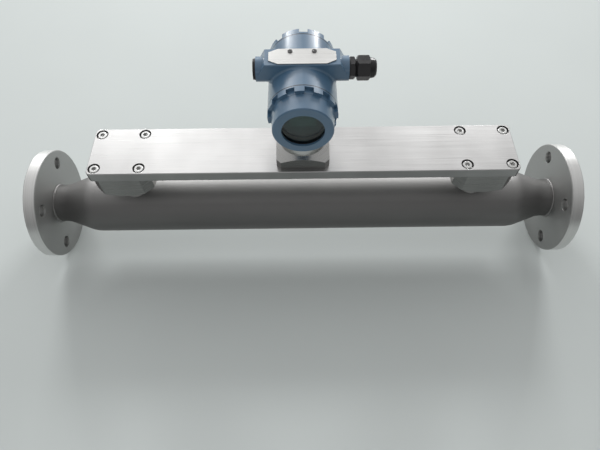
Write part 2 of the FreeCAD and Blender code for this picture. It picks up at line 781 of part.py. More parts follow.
def base_screws():
    body = new_body("base_screws", (
        "-base_side / 2 + base_screw_edge", "-base_side / 2 + base_screw_edge",
        f"{PLATE_BOTTOM} + base_screw_head_height + counterbore_sink"))
    outline = new_sketch(body, "XZ_Plane")
    polygon(outline, [("0", "base_screw_length"), ("base_screw_shank / 2", "base_screw_length"),
                      ("base_screw_shank / 2", "0"), ("base_screw_head / 2", "0"),
                      ("base_screw_head / 2", "-base_screw_head_height"), ("0", "-base_screw_head_height")])
    turned(body, outline, "V_Axis")
    drive = new_sketch(body, "XY_Plane", ("0", "0", "-base_screw_head_height"))
    hexagon(drive, "base_screw_socket")
    pocket(body, drive, "base_screw_socket_depth", flip=True)
    row_pattern(body, "X_Axis", "base_side - 2 * base_screw_edge")
    row_pattern(body, "Y_Axis", "base_side - 2 * base_screw_edge")


def sensor_capsule():
    body = new_body("sensor_capsule", ("0", "0", PLATE_TOP))
    section = new_sketch(body, "XZ_Plane")
    header_top = "(capsule_height + header_height)"
    polygon(section, [("0", "0"), ("capsule_diameter / 2", "0"), ("capsule_diameter / 2", "capsule_height"),
                      ("header_diameter / 2", "capsule_height"), ("header_diameter / 2", header_top),
                      ("0", header_top)])
    turned(body, section, "V_Axis")


def sensor_board():
    body = new_body("sensor_board", ("0", "0", f"{PLATE_TOP} + capsule_height + header_height"))
    outline = new_sketch(body, "XY_Plane")
    circle(outline, "sensor_board_diameter / 2")
    pad(body, outline, "board_thickness")


def neck_collar():
    """The collar on the sensor base, with the spigot on which the head turns."""
    body = new_body("neck_collar", ("0", "0", COLLAR_BOTTOM))
    edge = "(collar_diameter / 2)"
    spigot = "(spigot_diameter / 2)"
    top = "(collar_height + spigot_height)"
    floor = f"({spigot} - seal_groove_depth)"
    seal_low = "(collar_height + neck_seal_height)"
    seal_high = f"({seal_low} + seal_width + 2 * seal_side_gap)"
    section = new_sketch(body, "XZ_Plane")
    polygon(section, [
        ("collar_bore / 2", "0"), (edge, "0"), (edge, "collar_height - collar_chamfer"),
        (f"{edge} - collar_chamfer", "collar_height"), (spigot, "collar_height"),
        (spigot, seal_low), (floor, seal_low), (floor, seal_high), (spigot, seal_high),
        (spigot, top), ("collar_bore / 2", top),
    ])
    turned(body, section, "V_Axis")


def neck_seal():
    inner = "(spigot_diameter / 2 - seal_groove_depth + running_gap)"
    flat_ring("neck_seal", ("0", "0", f"{COLLAR_TOP} + neck_seal_height + seal_side_gap"),
              "spigot_diameter / 2", inner, "seal_width")


def crosses_cylinders(edge):
    """Whether an edge is the curve where two round bodies of the casting meet."""
    return edge.Curve.TypeId == "Part::GeomBSplineCurve"


def lies_along_pad(edge):
    """Whether an edge runs along the top of the cross body's flat pad."""
    middle = edge.CenterOfMass
    return abs(middle.z - number(PAD_TOP)) < CLOSE and abs(middle.y) > number(BOSS) / 2


def housing():
    """The cast two-chamber housing: a barrel, a cross body for the cable entries and a neck."""
    body = new_body("housing", ("0", "0", HEAD_AXIS))
    barrel = new_sketch(body, "YZ_Plane")
    box_outline(barrel, ("-barrel_front", "0"), ("barrel_rear", BARREL))
    turned(body, barrel, "H_Axis")
    cross = new_sketch(body, "XZ_Plane", ("0", CONDUIT_RISE, "0"))
    box_outline(cross, ("-conduit_span / 2", "0"), ("conduit_span / 2", BOSS))
    turned(body, cross, "H_Axis")
    saddle = new_sketch(body, "XZ_Plane")
    foot = "(conduit_span / 2 - pad_setback)"
    brow = f"({foot} - pad_slope)"
    polygon(saddle, [(f"-{foot}", CONDUIT_RISE), (foot, CONDUIT_RISE), (brow, PAD_TOP), (f"-{brow}", PAD_TOP)])
    pad(body, saddle, f"2 * {BOSS}", side="Symmetric")
    neck = new_sketch(body, "XZ_Plane")
    box_outline(neck, ("0", "-neck_drop"), (NECK, f"-{BARREL} / 2"))
    turned(body, neck, "V_Axis")
    rounded(body, "pad_height - casting_round_gap", crosses_cylinders)
    rounded(body, "pad_round", lies_along_pad)

    room = "(compartment_diameter / 2)"
    front = new_sketch(body, "YZ_Plane")
    box_outline(front, ("-barrel_front", "0"), ("-bulkhead_front", room))
    groove(body, front, "H_Axis")
    rear = new_sketch(body, "YZ_Plane")
    box_outline(rear, ("bulkhead_thickness - bulkhead_front", "0"), ("barrel_rear", room))
    groove(body, rear, "H_Axis")
    entries = new_sketch(body, "XZ_Plane", ("0", CONDUIT_RISE, "0"))
    box_outline(entries, ("-conduit_span / 2", "0"), ("conduit_span / 2", "conduit_thread / 2"))
    groove(body, entries, "H_Axis")
    spigot_room = "(spigot_diameter / 2 + running_gap)"
    spigot_roof = "(spigot_height + 2 * seat_gap - neck_drop)"
    swivel = new_sketch(body, "XZ_Plane")
    polygon(swivel, [("0", "-neck_drop"), (spigot_room, "-neck_drop"), (spigot_room, spigot_roof),
                     ("wire_bore / 2", spigot_roof), ("wire_bore / 2", f"-{room} / 2"), ("0", f"-{room} / 2")])
    groove(body, swivel, "V_Axis")
    wires = new_sketch(body, "XZ_Plane")
    circle(wires, "bulkhead_port / 2", ("bulkhead_port_side", "-bulkhead_port_drop"))
    circle(wires, "terminal_screw_shank / 2 + thread_gap", ("-earth_screw_side", "-earth_screw_drop"))
    pocket(body, wires, "2 * bulkhead_front", side="Symmetric")
    lock = new_sketch(body, "XZ_Plane")
    circle(lock, "lock_screw_shank / 2 + thread_gap", ("0", "lock_screw_height - neck_drop"))
    pocket(body, lock, NECK)
    screws = new_sketch(body, "XY_Plane", ("0", "0", PAD_TOP))
    for side in ("-", ""):
        circle(screws, "nameplate_screw_shank / 2 + thread_gap",
               (f"{side}nameplate_screw_spread / 2", "nameplate_screw_back"))
    pocket(body, screws, "nameplate_screw_length")


def swivel_lock_screw():
    """The set screw in the back of the neck that holds the head's turn."""
    start = "(spigot_diameter / 2 + running_gap + lock_screw_tip_gap)"
    end = f"({NECK} - lock_screw_sink)"
    body = new_body("swivel_lock_screw", ("0", "0", f"{HEAD_AXIS} - neck_drop + lock_screw_height"))
    outline = new_sketch(body, "YZ_Plane")
    box_outline(outline, (start, "0"), (end, "lock_screw_shank / 2"))
    turned(body, outline, "H_Axis")
    drive = new_sketch(body, "XZ_Plane", ("0", "0", f"-{end}"))
    hexagon(drive, "lock_screw_socket")
    pocket(body, drive, "lock_screw_shank / 2", flip=True)


def castellate(body, turn, count):
    """Cut the notches round the rim of a cap, for a spanner to grip."""
    depth = f"({BARREL} - notch_depth)"
    notch = new_sketch(body, "XZ_Plane", ("0", "0", "-seat_gap - rim_length"))
    notch.setExpression("AttachmentOffset.Rotation.Axis.z", "1")
    notch.setExpression("AttachmentOffset.Rotation.Angle", linked(turn))
    box_outline(notch, ("-notch_width / 2", depth), ("notch_width / 2", f"{BARREL} + notch_depth"))
    cut = pocket(body, notch, "rim_length - rim_back", flip=True)
    ring_pattern(body, cut, "Y_Axis", count)


def cap_skirt():
    """The cap's outline from the end of its skirt, round the seal groove, to the front of its rim."""
    seal_low = "(-seal_width - 3 * seal_side_gap)"
    return [
        ("-skirt_length", CAP_BORE), ("-skirt_length", SKIRT), (seal_low, SKIRT), (seal_low, SEAL_FLOOR),
        ("-seal_side_gap", SEAL_FLOOR), ("-seal_side_gap", SKIRT), ("seat_gap", SKIRT), ("seat_gap", BARREL),
        ("seat_gap + rim_length", BARREL), ("seat_gap + rim_length", f"{CAP_BODY} + cap_draft"),
    ]


def front_place(outward="0"):
    """A place on the front cap's axis, measured outwards from the barrel's front face."""
    return ("0", f"-barrel_front - {outward}", HEAD_AXIS)


def front_cap():
    body = new_body("front_cap", front_place(), turn=180)
    section = new_sketch(body, "YZ_Plane")
    polygon(section, cap_skirt() + [
        ("cap_depth - cap_edge", CAP_BODY), ("cap_depth", f"{CAP_BODY} - cap_edge"), ("cap_depth", WINDOW),
        ("cap_depth - cap_lip", WINDOW), ("cap_depth - cap_lip", CAP_BORE),
    ])
    turned(body, section, "H_Axis")
    castellate(body, "front_notch_turn", "front_notch_count")


def rear_cap():
    body = new_body("rear_cap", ("0", "barrel_rear", HEAD_AXIS))
    section = new_sketch(body, "YZ_Plane")
    floor = "(blind_cap_depth - blind_cap_floor)"
    polygon(section, cap_skirt() + [
        ("blind_cap_depth - cap_edge", CAP_BODY), ("blind_cap_depth", f"{CAP_BODY} - cap_edge"),
        ("blind_cap_depth", "0"), (floor, "0"), (floor, CAP_BORE),
    ])
    turned(body, section, "H_Axis")
    castellate(body, "rear_notch_turn", "rear_notch_count")


def upright_ring(label, at, low, high, outer, inner, turn=0):
    """A ring about Y between two distances along Y."""
    body = new_body(label, at, turn)
    section = new_sketch(body, "YZ_Plane")
    box_outline(section, (low, inner), (high, outer))
    turned(body, section, "H_Axis")
    return body


def cap_seals():
    for label, at, turn in (("front_cap_seal", front_place(), 180),
                            ("rear_cap_seal", ("0", "barrel_rear", HEAD_AXIS), 0)):
        upright_ring(label, at, "-seal_width - 2 * seal_side_gap", "-2 * seal_side_gap",
                     "compartment_diameter / 2 - running_gap", f"{SEAL_FLOOR} + running_gap", turn)


def window():
    """The glass with its gasket in front and the retaining ring behind."""
    upright_ring("window_gasket", front_place(), GLASS_FRONT, f"{GLASS_FRONT} + window_gasket",
                 GLASS, WINDOW, 180)
    glass = new_body("window_glass", front_place(), 180)
    disc = new_sketch(glass, "YZ_Plane")
    box_outline(disc, (f"{GLASS_FRONT} - glass_thickness", "0"), (GLASS_FRONT, GLASS))
    turned(glass, disc, "H_Axis")
    ring = upright_ring("glass_retaining_ring", front_place(), RING_BACK, f"{RING_BACK} + ring_thickness",
                        GLASS, f"{GLASS} - ring_width", 180)
    slot = new_sketch(ring, "XZ_Plane", ("0", "0", f"-{RING_BACK}"))
    box_outline(slot, (f"-{GLASS} - ring_width", "-ring_slot / 2"), (f"{GLASS} + ring_width", "ring_slot / 2"))
    pocket(ring, slot, "ring_slot")


def standoffs(label, back, front):
    """Four round posts between two distances in front of the swivel axis."""
    body = new_body(label, ("-standoff_spread / 2", f"-{back}", f"{HEAD_AXIS} - standoff_rise / 2"))
    post = new_sketch(body, "XZ_Plane")
    circle(post, "standoff_diameter / 2")
    pad(body, post, f"{front} - {back}")
    row_pattern(body, "X_Axis", "standoff_spread")
    row_pattern(body, "Z_Axis", "standoff_rise")


def electronics():
    board_front = f"({BOARD_BACK} + board_thickness)"
    standoffs("board_standoffs", "bulkhead_front", BOARD_BACK)
    board = new_body("main_board", ("0", f"-{BOARD_BACK}", HEAD_AXIS))
    disc = new_sketch(board, "XZ_Plane")
    circle(disc, "compartment_diameter / 2 - board_gap")
    pad(board, disc, "board_thickness")
    standoffs("display_standoffs", board_front, f"({DISPLAY_FRONT} - display_thickness)")
    display = new_body("display_module", ("0", f"-{DISPLAY_FRONT} + display_thickness", HEAD_AXIS))
    carrier = new_sketch(display, "XZ_Plane")
    circle(carrier, f"{CAP_BORE} - display_gap")
    pad(display, carrier, "display_thickness")
    screen = new_sketch(display, "XZ_Plane")
    box_outline(screen, ("-screen_length / 2", "-screen_height / 2"), ("screen_length / 2", "screen_height / 2"))
    pad(display, screen, "display_thickness + screen_raise")


def terminals():
    bulkhead_back = "(bulkhead_thickness - bulkhead_front)"
    level = f"{HEAD_AXIS} - terminal_drop"
    holder = new_body("terminal_block", ("0", f"{bulkhead_back} + terminal_depth", level))
    outline = new_sketch(holder, "XZ_Plane")
    box_outline(outline, ("-terminal_length / 2", "-terminal_height / 2"),
                ("terminal_length / 2", "terminal_height / 2"))
    pad(holder, outline, "terminal_depth")
    holes = new_sketch(holder, "XZ_Plane", ("-terminal_pitch * (terminal_count - 1) / 2", "0", "0"))
    circle(holes, "terminal_screw_shank / 2 + thread_gap")
    hole = pocket(holder, holes, "terminal_screw_length", flip=True)
    row = holder.newObject("PartDesign::LinearPattern", "terminal_block_holes")
    row.Originals = [hole]
    row.Direction = (origin(holder, "X_Axis"), [""])
    row.setExpression("Length", linked("terminal_pitch * (terminal_count - 1)"))
    row.setExpression("Occurrences", linked("terminal_count"))
    holder.Tip = row
    doc.recompute()
    screws = new_body("terminal_screws", ("-terminal_pitch * (terminal_count - 1) / 2",
                                          f"{bulkhead_back} + terminal_depth", level))
    pan_screw(screws, "terminal_screw_head", "terminal_screw_head_height", "terminal_screw_shank",
              "terminal_screw_length", "screw_slot")
    row_pattern(screws, "X_Axis", "terminal_pitch * (terminal_count - 1)", "terminal_count")
    earth = new_body("earth_screw", ("-earth_screw_side", bulkhead_back, f"{HEAD_AXIS} - earth_screw_drop"))
    pan_screw(earth, "terminal_screw_head", "terminal_screw_head_height", "terminal_screw_shank",
              "bulkhead_thickness", "screw_slot")


def entry_place(side):
    """The mouth of a cable entry."""
    return (f"{side}conduit_span / 2", "0", f"{HEAD_AXIS} + {CONDUIT_RISE}")


def entry_washer(label, side, turn):
    body = new_body(label, entry_place(side), turn)
    section = new_sketch(body, "XZ_Plane")
    box_outline(section, ("0", "conduit_thread / 2"), ("washer_thickness", "washer_diameter / 2"))
    turned(body, section, "H_Axis")


def conduit_plug():
    body = new_body("conduit_plug", entry_place("-"), 180)
    thread = "(conduit_thread / 2 - thread_gap)"
    section = new_sketch(body, "XZ_Plane")
    face = "(washer_thickness + plug_flange)"
    polygon(section, [("-entry_depth", "0"), (face, "0"), (face, "plug_diameter / 2"),
                      ("washer_thickness", "plug_diameter / 2"), ("washer_thickness", thread),
                      ("-entry_depth", thread)])
    turned(body, section, "H_Axis")
    drive = new_sketch(body, "YZ_Plane", ("0", "0", face))
    hexagon(drive, "plug_socket")
    pocket(body, drive, "plug_socket_depth")


def crowned(body, end, inward, across):
    """Turn the corners off a hexagon about X at one of its end faces."""
    flat = f"({across} / 2)"
    crown = new_sketch(body, "XZ_Plane")
    polygon(crown, [(end, flat), (end, across), (f"{end} {inward} {flat} * tan(hex_crown_angle)", across)])
    groove(body, crown, "H_Axis")


def gland_body():
    body = new_body("gland_body", entry_place(""))
    hex_end = "(washer_thickness + gland_hex_length)"
    nut_thread_end = f"({hex_end} + gland_thread_length)"
    grip = new_sketch(body, "YZ_Plane", ("0", "0", "washer_thickness"))
    hexagon(grip, "gland_hex")
    pad(body, grip, "gland_hex_length")
    crowned(body, hex_end, "-", "gland_hex")
    entry = new_sketch(body, "XZ_Plane")
    box_outline(entry, ("-entry_depth", "0"), (hex_end, "conduit_thread / 2 - thread_gap"))
    turned(body, entry, "H_Axis")
    stub = new_sketch(body, "XZ_Plane")
    box_outline(stub, ("0", "0"), (nut_thread_end, "gland_thread / 2"))
    turned(body, stub, "H_Axis")
    bore = new_sketch(body, "XZ_Plane")
    box_outline(bore, ("-entry_depth", "0"), (nut_thread_end, "gland_bore / 2"))
    groove(body, bore, "H_Axis")


def gland_insert():
    """The rubber sleeve that closes on the cable when the nut is tightened."""
    body = new_body("gland_insert", entry_place(""))
    end = f"({NUT_START} + nut_hex_length + nut_dome_length - nut_wall - seat_gap)"
    section = new_sketch(body, "XZ_Plane")
    box_outline(section, ("insert_start", "insert_bore / 2"), (end, "gland_bore / 2 - running_gap"))
    turned(body, section, "H_Axis")


def gland_nut():
    body = new_body("gland_nut", entry_place(""))
    dome_start = f"({NUT_START} + nut_hex_length)"
    dome_end = f"({dome_start} + nut_dome_length)"
    shoulder = f"({dome_end} - nut_wall)"
    grip = new_sketch(body, "YZ_Plane", ("0", "0", NUT_START))
    hexagon(grip, "nut_hex")
    pad(body, grip, "nut_hex_length")
    crowned(body, NUT_START, "+", "nut_hex")
    crowned(body, dome_start, "-", "nut_hex")
    dome = new_sketch(body, "XZ_Plane")
    polygon(dome, [(NUT_START, "0"), (dome_end, "0"), (dome_end, "nut_mouth / 2 + nut_wall / 2"),
                   (f"{dome_end} - nut_wall / 2", "nut_dome_diameter / 2 - nut_wall / 4"),
                   (dome_start, "nut_dome_diameter / 2"), (NUT_START, "nut_dome_diameter / 2")])
    turned(body, dome, "H_Axis")
    bore = new_sketch(body, "XZ_Plane")
    thread = "(gland_thread / 2 + nut_thread_gap)"
    polygon(bore, [(NUT_START, "0"), (dome_end, "0"), (dome_end, "nut_mouth / 2"), (shoulder, "nut_mouth / 2"),
                   (shoulder, thread), (NUT_START, thread)])
    groove(body, bore, "H_Axis")


def nameplate():
    body = new_body("nameplate", ("0", "0", f"{HEAD_AXIS} + {PAD_TOP}"))
    long_half = "(nameplate_length / 2)"
    short_half = "(nameplate_width / 2)"
    long_flat = f"({long_half} - nameplate_cut_long)"
    short_flat = f"({short_half} - nameplate_cut_short)"
    outline = new_sketch(body, "XY_Plane")
    polygon(outline, [(long_flat, f"-{short_half}"), (long_half, f"-{short_flat}"), (long_half, short_flat),
                      (long_flat, short_half), (f"-{long_flat}", short_half), (f"-{long_half}", short_flat),
                      (f"-{long_half}", f"-{short_flat}"), (f"-{long_flat}", f"-{short_half}")])
    for side in ("-", ""):
        circle(outline, "nameplate_screw_shank / 2 + thread_gap",
               (f"{side}nameplate_screw_spread / 2", "nameplate_screw_back"))
    pad(body, outline, "nameplate_thickness")


def nameplate_screws():
    body = new_body("nameplate_screws", ("-nameplate_screw_spread / 2", "nameplate_screw_back",
                                         f"{HEAD_AXIS} + {PAD_TOP} + nameplate_thickness"))
    outline = new_sketch(body, "XZ_Plane")
    polygon(outline, [("0", "-nameplate_screw_length"), ("nameplate_screw_shank / 2", "-nameplate_screw_length"),
                      ("nameplate_screw_shank / 2", "0"), ("nameplate_screw_head / 2", "0"),
                      ("nameplate_screw_head / 2", "nameplate_screw_head_height / 2"),
                      ("nameplate_screw_head / 4", "nameplate_screw_head_height"),
                      ("0", "nameplate_screw_head_height")])
    turned(body, outline, "V_Axis")
    slot = new_sketch(body, "XY_Plane", ("0", "0", "nameplate_screw_head_height"))
    box_outline(slot, ("-nameplate_screw_head", "-screw_slot / 2"), ("nameplate_screw_head", "screw_slot / 2"))
    pocket(body, slot, "nameplate_screw_head_height / 2")
    row_pattern(body, "X_Axis", "nameplate_screw_spread")


def build():
    measuring_tube()
    reducer("inlet_reducer", 180, "-")
    reducer("outlet_reducer", 0, "")
    flange("inlet_flange", 180, "-")
    flange("outlet_flange", 0, "")
    for label, side in (("upstream", "-"), ("downstream", "")):
        nozzle(f"{label}_nozzle", side)
        block(f"{label}_block", side)
        gasket(f"{label}_gasket", side)
        diaphragm(f"{label}_diaphragm", side)
    bridge_plate()
    plate_screws()
    capillary("upstream_capillary", 180)
    capillary("downstream_capillary", 0)
    channel_cover()
    cover_screws()
    sensor_base()
    base_screws()
    sensor_capsule()
    sensor_board()
    neck_collar()
    neck_seal()
    housing()
    swivel_lock_screw()
    front_cap()
    rear_cap()
    cap_seals()
    window()
    electronics()
    terminals()
    entry_washer("plug_washer", "-", 180)
    conduit_plug()
    entry_washer("gland_washer", "", 0)
    gland_body()
    gland_insert()
    gland_nut()
    nameplate()
    nameplate_screws()


def check_and_write():
    """Stop on any failed object, then write one file for each sub-part."""
    doc.recompute()
    for item in doc.Objects:
        if {"Invalid", "Error"} & set(item.State):
            raise RuntimeError(f"{item.Label} failed: {item.State}")
    for part in parts:
        if part.Shape.isNull() or not part.Shape.isValid():
            raise RuntimeError(f"{part.Label} has no valid shape")
    os.makedirs("parts", exist_ok=True)
    for part in parts:
        part.Shape.exportStep(f"parts/{part.Label}.step")
        print(part.Label, len(part.Shape.Solids), round(part.Shape.Volume))


build()
check_and_write()
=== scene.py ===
# Looks of the inline density meter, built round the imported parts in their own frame.
# Metres. +X runs along the flow, +Z up to the head, and the display looks along -Y.
import math

import bmesh
import bpy
from mathutils import Matrix, Vector


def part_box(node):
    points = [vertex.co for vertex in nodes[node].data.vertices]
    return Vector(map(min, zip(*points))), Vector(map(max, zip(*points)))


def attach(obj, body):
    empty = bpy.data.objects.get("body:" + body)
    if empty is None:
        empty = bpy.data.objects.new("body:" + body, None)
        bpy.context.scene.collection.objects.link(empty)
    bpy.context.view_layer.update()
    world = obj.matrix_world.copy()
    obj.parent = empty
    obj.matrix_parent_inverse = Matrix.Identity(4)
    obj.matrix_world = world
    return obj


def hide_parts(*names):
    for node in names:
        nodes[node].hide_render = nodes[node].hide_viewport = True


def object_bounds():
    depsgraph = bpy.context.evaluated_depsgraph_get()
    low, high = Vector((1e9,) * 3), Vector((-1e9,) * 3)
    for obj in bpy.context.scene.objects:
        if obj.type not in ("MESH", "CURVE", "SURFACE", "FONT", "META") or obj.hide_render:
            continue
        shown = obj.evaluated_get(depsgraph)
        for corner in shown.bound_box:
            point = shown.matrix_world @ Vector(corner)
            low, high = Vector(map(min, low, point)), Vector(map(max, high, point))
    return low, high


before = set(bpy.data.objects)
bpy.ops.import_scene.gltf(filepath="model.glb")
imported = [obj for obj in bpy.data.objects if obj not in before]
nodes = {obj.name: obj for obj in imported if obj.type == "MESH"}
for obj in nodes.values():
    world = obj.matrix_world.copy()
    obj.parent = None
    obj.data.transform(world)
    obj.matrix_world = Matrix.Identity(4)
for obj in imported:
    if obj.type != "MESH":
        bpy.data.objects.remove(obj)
cad_box = [list(corner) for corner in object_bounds()]


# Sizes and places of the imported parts
def middle(node):
    """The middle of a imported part's box."""
    low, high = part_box(node)
    return (low + high) / 2


TUBE_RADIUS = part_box("measuring_tube")[1].z
PIPE_RADIUS = 0.0285
BOLT_CIRCLE_RADIUS = 0.0625
BOLT_HOLE_RADIUS = 0.009
FLANGE_HALF = 0.0085
FLANGE_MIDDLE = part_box("outlet_flange")[0].x + FLANGE_HALF
SKIRT_RADIUS = 0.0327
GLAND_THREAD_RADIUS = 0.00975
CAP_PITCH = 0.002
GLAND_PITCH = 0.0015
CAP_JOINT_HALF = 0.0006
cap_joints = [corner.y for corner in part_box("housing")]
head_centre = middle("front_cap")


# Node materials
WHITE = (1.0, 1.0, 1.0)
ORIGIN = (0.0, 0.0, 0.0)


def shaded(colour, factor):
    """A colour made lighter or darker."""
    return tuple(channel * factor for channel in colour)


def even(waves):
    """The same number of waves along each axis."""
    return (waves, waves, waves)


class Finish:
    """A procedural material under construction, with the object's own coordinates at hand."""

    EDGE_RADIUS = 0.0004
    NOISE_ROUGHNESS = 0.55

    def __init__(self, name, **settings):
        self.material = bpy.data.materials.new(name)
        self.material.use_nodes = True
        self.tree = self.material.node_tree
        self.shader = self.tree.nodes["Principled BSDF"]
        coordinates = self.node("ShaderNodeTexCoord").outputs
        self.place = coordinates["Object"]
        self.facing = coordinates["Normal"]
        self.soft_edges = self.node("ShaderNodeBevel", {"Radius": self.EDGE_RADIUS}).outputs["Normal"]
        for setting, value in settings.items():
            self.set(setting.replace("_", " "), value)

    def set(self, socket, value):
        """Set or link one of the shader's own sockets."""
        self.feed(self.shader.inputs[socket], value)

    def feed(self, socket, value):
        """Link a socket to another node's output, or set its number or colour."""
        if isinstance(value, bpy.types.NodeSocket):
            self.tree.links.new(value, socket)
        else:
            socket.default_value = value

    def node(self, kind, inputs=None, **properties):
        """A new node with its properties and inputs set."""
        made = self.tree.nodes.new(kind)
        for name, value in properties.items():
            setattr(made, name, value)
        for socket, value in (inputs or {}).items():
            self.feed(made.inputs[socket], value)
        return made

    def noise(self, waves, detail=3.0, place=None):
        """Noise with so many waves to the metre along each axis."""
        scaled = self.node("ShaderNodeMapping", {"Vector": place or self.place, "Scale": waves})
        inputs = {"Vector": scaled.outputs["Vector"], "Scale": 1.0, "Detail": detail,
                  "Roughness": self.NOISE_ROUGHNESS}
        return self.node("ShaderNodeTexNoise", inputs).outputs["Fac"]

    def math(self, operation, first, second=0.0):
        """A value worked out from one or two others."""
        return self.node("ShaderNodeMath", {0: first, 1: second}, operation=operation).outputs["Value"]

    def distance(self, first, second):
        """How far two values lie apart."""
        return self.math("ABSOLUTE", self.math("SUBTRACT", first, second))

    def vector(self, operation, *inputs):
        """The outputs of a node that works on vectors."""
        made = self.node("ShaderNodeVectorMath", dict(enumerate(inputs)), operation=operation)
        return made.outputs

    def along(self, vector, axis):
        """One component of a vector."""
        return self.node("ShaderNodeSeparateXYZ", {"Vector": vector}).outputs[axis]

    def size_along(self, vector, axis):
        """One component of a vector without its sign."""
        return self.math("ABSOLUTE", self.along(vector, axis))

    def turned_place(self, axis, centre):
        """Coordinates of a turned surface: its radius as X and its place along the axis as Y."""
        across = [1.0, 1.0, 1.0]
        across["XYZ".index(axis)] = 0.0
        moved = self.vector("SUBTRACT", self.place, centre)["Vector"]
        flat = self.vector("MULTIPLY", moved, across)["Vector"]
        radius = self.vector("LENGTH", flat)["Value"]
        joined = self.node("ShaderNodeCombineXYZ", {"X": radius, "Y": self.along(self.place, axis)})
        return joined.outputs["Vector"]

    def spread(self, value, low, high, start=0.25, end=0.75):
        """A value that runs from low to high while another runs from start to end."""
        inputs = {"Value": value, "From Min": start, "From Max": end, "To Min": low, "To Max": high}
        return self.node("ShaderNodeMapRange", inputs).outputs["Result"]

    def ramp(self, value, *stops):
        """Colours along a value, given as pairs of position and colour."""
        made = self.node("ShaderNodeValToRGB", {"Fac": value})
        elements = made.color_ramp.elements
        while len(elements) < len(stops):
            elements.new(1.0)
        for element, (position, colour) in zip(elements, stops):
            element.position = position
            element.color = (*colour, 1.0)
        return made.outputs["Color"]

    def tones(self, value, colour, low, high, start=0.3, end=0.7):
        """A colour times a factor that runs from low to high while a value runs from start to end."""
        return self.ramp(value, (start, shaded(colour, low)), (end, shaded(colour, high)))

    def multiplied(self, colour, shade):
        """A node's colours darkened by those of another."""
        made = self.node("ShaderNodeMix", data_type="RGBA", blend_type="MULTIPLY")
        self.feed(made.inputs["Factor"], 1.0)
        self.feed(made.inputs[6], colour)
        self.feed(made.inputs[7], shade)
        return made.outputs[2]

    def toned(self, colour, value, low, high, start=0.3, end=0.7):
        """A node's colours times a factor that runs from low to high with a value."""
        return self.multiplied(colour, self.tones(value, WHITE, low, high, start, end))

    def shade_painted_on_sides(self, colour, tone):
        """A node's colours darkened by a tone on upright faces, as painted shade."""
        return self.toned(colour, self.size_along(self.facing, "Z"), tone, 1.0, start=0.3, end=0.8)

    def relief(self, height, depth, strength):
        """Fine relief from a height, so many metres deep, over softened edges."""
        inputs = {"Height": height, "Distance": depth, "Strength": strength, "Normal": self.soft_edges}
        self.set("Normal", self.node("ShaderNodeBump", inputs).outputs["Normal"])


def brushed_metal(name, colour, waves, rough, contrast=0.05, painted_side_shade=1.0, cut=0.25):
    """Metal with straight brush lines, so many to the metre along each axis, and painted shade on its
    upright sides.
    """
    finish = Finish(name, Metallic=1.0)
    lines = finish.noise(waves, detail=4.0)
    cloud = finish.noise((14.0, 9.0, 9.0), detail=2.0)
    tone = finish.tones(lines, colour, low=1 - contrast, high=1 + contrast)
    clouded = finish.toned(tone, cloud, low=0.86, high=1.0, start=0.35, end=0.65)
    # Painted shade: upright faces are darkened by the side tone.
    finish.set("Base Color", finish.shade_painted_on_sides(clouded, painted_side_shade))
    finish.set("Roughness", finish.spread(lines, low=rough - 0.05, high=rough + 0.07))
    finish.relief(lines, depth=0.00002, strength=cut)
    return finish.material


def lathe_rings(finish, colour, rough, place):
    """The relief of fine rings on a turned surface, and the colours and roughness that follow them."""
    rings = finish.noise((1100.0, 1100.0, 1.0), place=place)
    finish.relief(rings, depth=0.00003, strength=0.3)
    tone = finish.tones(rings, colour, low=0.92, high=1.06)
    return tone, finish.spread(rings, low=rough - 0.06, high=rough + 0.08)


def turned_metal(name, colour, axis, rough, centre=ORIGIN):
    """Metal off the lathe, with fine rings about an axis."""
    finish = Finish(name, Metallic=1.0)
    tone, roughness = lathe_rings(finish, colour, rough, finish.turned_place(axis, centre))
    cloud = finish.noise(even(25.0), detail=2.0)
    finish.set("Base Color", finish.toned(tone, cloud, low=0.9, high=1.0))
    finish.set("Roughness", roughness)
    return finish.material


def flange_metal(name, colour, rough):
    """Turned metal with duller faces darkened by painted shade, and painted shade deep inside the bolt
    holes that fades out towards their mouths.
    """
    finish = Finish(name, Metallic=1.0)
    turned = finish.turned_place("X", ORIGIN)
    tone, roughness = lathe_rings(finish, colour, rough, turned)
    wall = finish.spread(finish.size_along(finish.facing, "X"), low=1.0, high=0.0, start=0.3, end=0.7)
    off_circle = finish.distance(finish.along(turned, "X"), BOLT_CIRCLE_RADIUS)
    on_circle = finish.spread(off_circle, low=1.0, high=0.0,
                              start=BOLT_HOLE_RADIUS, end=1.2 * BOLT_HOLE_RADIUS)
    off_middle = finish.distance(finish.size_along(finish.place, "X"), FLANGE_MIDDLE)
    deep = finish.spread(off_middle, low=1.0, high=0.0, start=0.6 * FLANGE_HALF, end=0.85 * FLANGE_HALF)
    painted_hole_shade = finish.math("MULTIPLY", finish.math("MULTIPLY", wall, on_circle), deep)
    # Painted shade: faces are darkened to 0.63 and the deep bolt-hole walls to 0.45.
    shade_painted_faces = finish.toned(tone, wall, low=0.63, high=1.0, start=0.0, end=1.0)
    finish.set("Base Color", finish.toned(shade_painted_faces, painted_hole_shade, low=1.0, high=0.45, start=0.0, end=1.0))
    dullness = finish.spread(wall, low=0.17, high=0.0, start=0.0, end=1.0)
    finish.set("Roughness", finish.math("ADD", dullness, roughness))
    return finish.material


def blasted_metal(name, colour, rough):
    """Metal blasted with fine beads, dull and slightly stained, lighter on upward-facing surfaces as a
    painted highlight and darker elsewhere.
    """
    finish = Finish(name, Metallic=1.0)
    grain = finish.noise(even(2600.0), detail=2.0)
    stain = finish.noise((9.0, 16.0, 16.0), detail=4.0)
    painted_top_light = finish.along(finish.facing, "Z")
    tone = finish.tones(stain, colour, low=0.93, high=1.05)
    speckled = finish.toned(tone, grain, low=0.86, high=1.0)
    # Painted highlight: upward-facing surfaces are lighter than the rest.
    finish.set("Base Color", finish.toned(speckled, painted_top_light, low=0.56, high=0.8, start=0.75, end=1.0))
    finish.set("Roughness", finish.spread(stain, low=rough - 0.03, high=rough + 0.05))
    finish.relief(grain, depth=0.00012, strength=0.5)
    return finish.material


